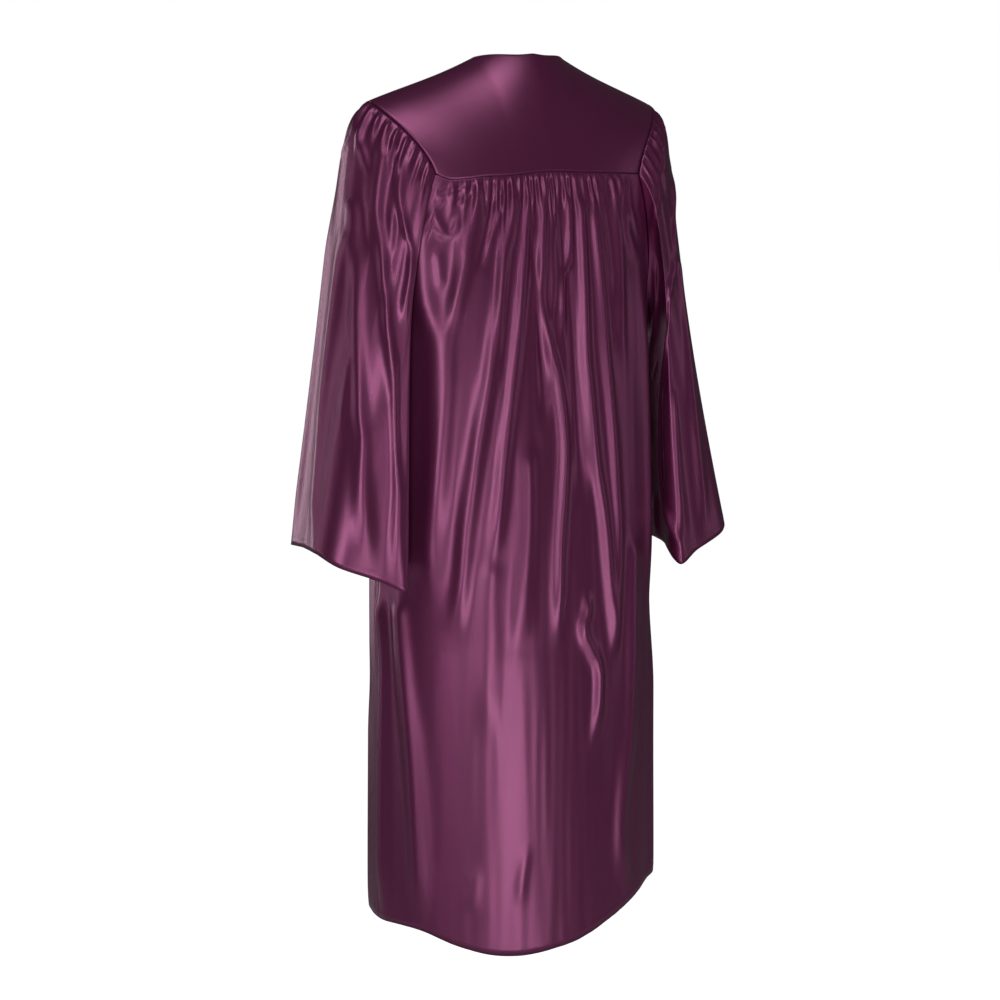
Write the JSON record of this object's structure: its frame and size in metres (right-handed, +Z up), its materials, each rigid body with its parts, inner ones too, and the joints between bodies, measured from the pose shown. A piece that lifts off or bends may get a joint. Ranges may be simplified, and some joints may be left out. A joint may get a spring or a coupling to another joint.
{
  "type": "graduation gown",
  "caption": "Full-length gathered satin gown with a plain yoke, wide open sleeves, V neck and a front zip, filled out as worn with no wearer.",
  "frame": {"origin": "between the shoulder seams on the gown's middle plane, halfway in height between neck point and shoulder tip, where a wearer's shoulders hold the gown", "axes": "+Z up along the gown's length; the front with its zip faces -Y; the wearer's left is +X"},
  "size_m": [0.6943, 0.2981, 1.3003],
  "materials": {
    "satin": "plum satin with a tinted sheen",
    "zip_tape": "matt woven tape",
    "zip_teeth": "moulded nylon",
    "zip_metal": "worn nickel"
  },
  "bodies": {
    "gown": {"yoke_back": "satin", "yoke_front_left": "satin", "yoke_front_right": "satin", "back_panel": "satin", "front_left": "satin", "front_right": "satin", "sleeve_left": "satin", "sleeve_right": "satin", "zip_tape_left": "zip_tape", "zip_tape_right": "zip_tape", "zip_coil": "zip_teeth", "zip_slider": "zip_metal"},
    "pull_tab": {"zip_pull_tab": "zip_metal"}
  },
  "joints": [
    {"name": "pull_tab_hinge", "type": "hinge", "parent": "gown", "child": "pull_tab", "pos_m": [0, -0.10454, -0.1377], "axis": [-1, 0, 0], "range_deg": [0, 160]}
  ]
}
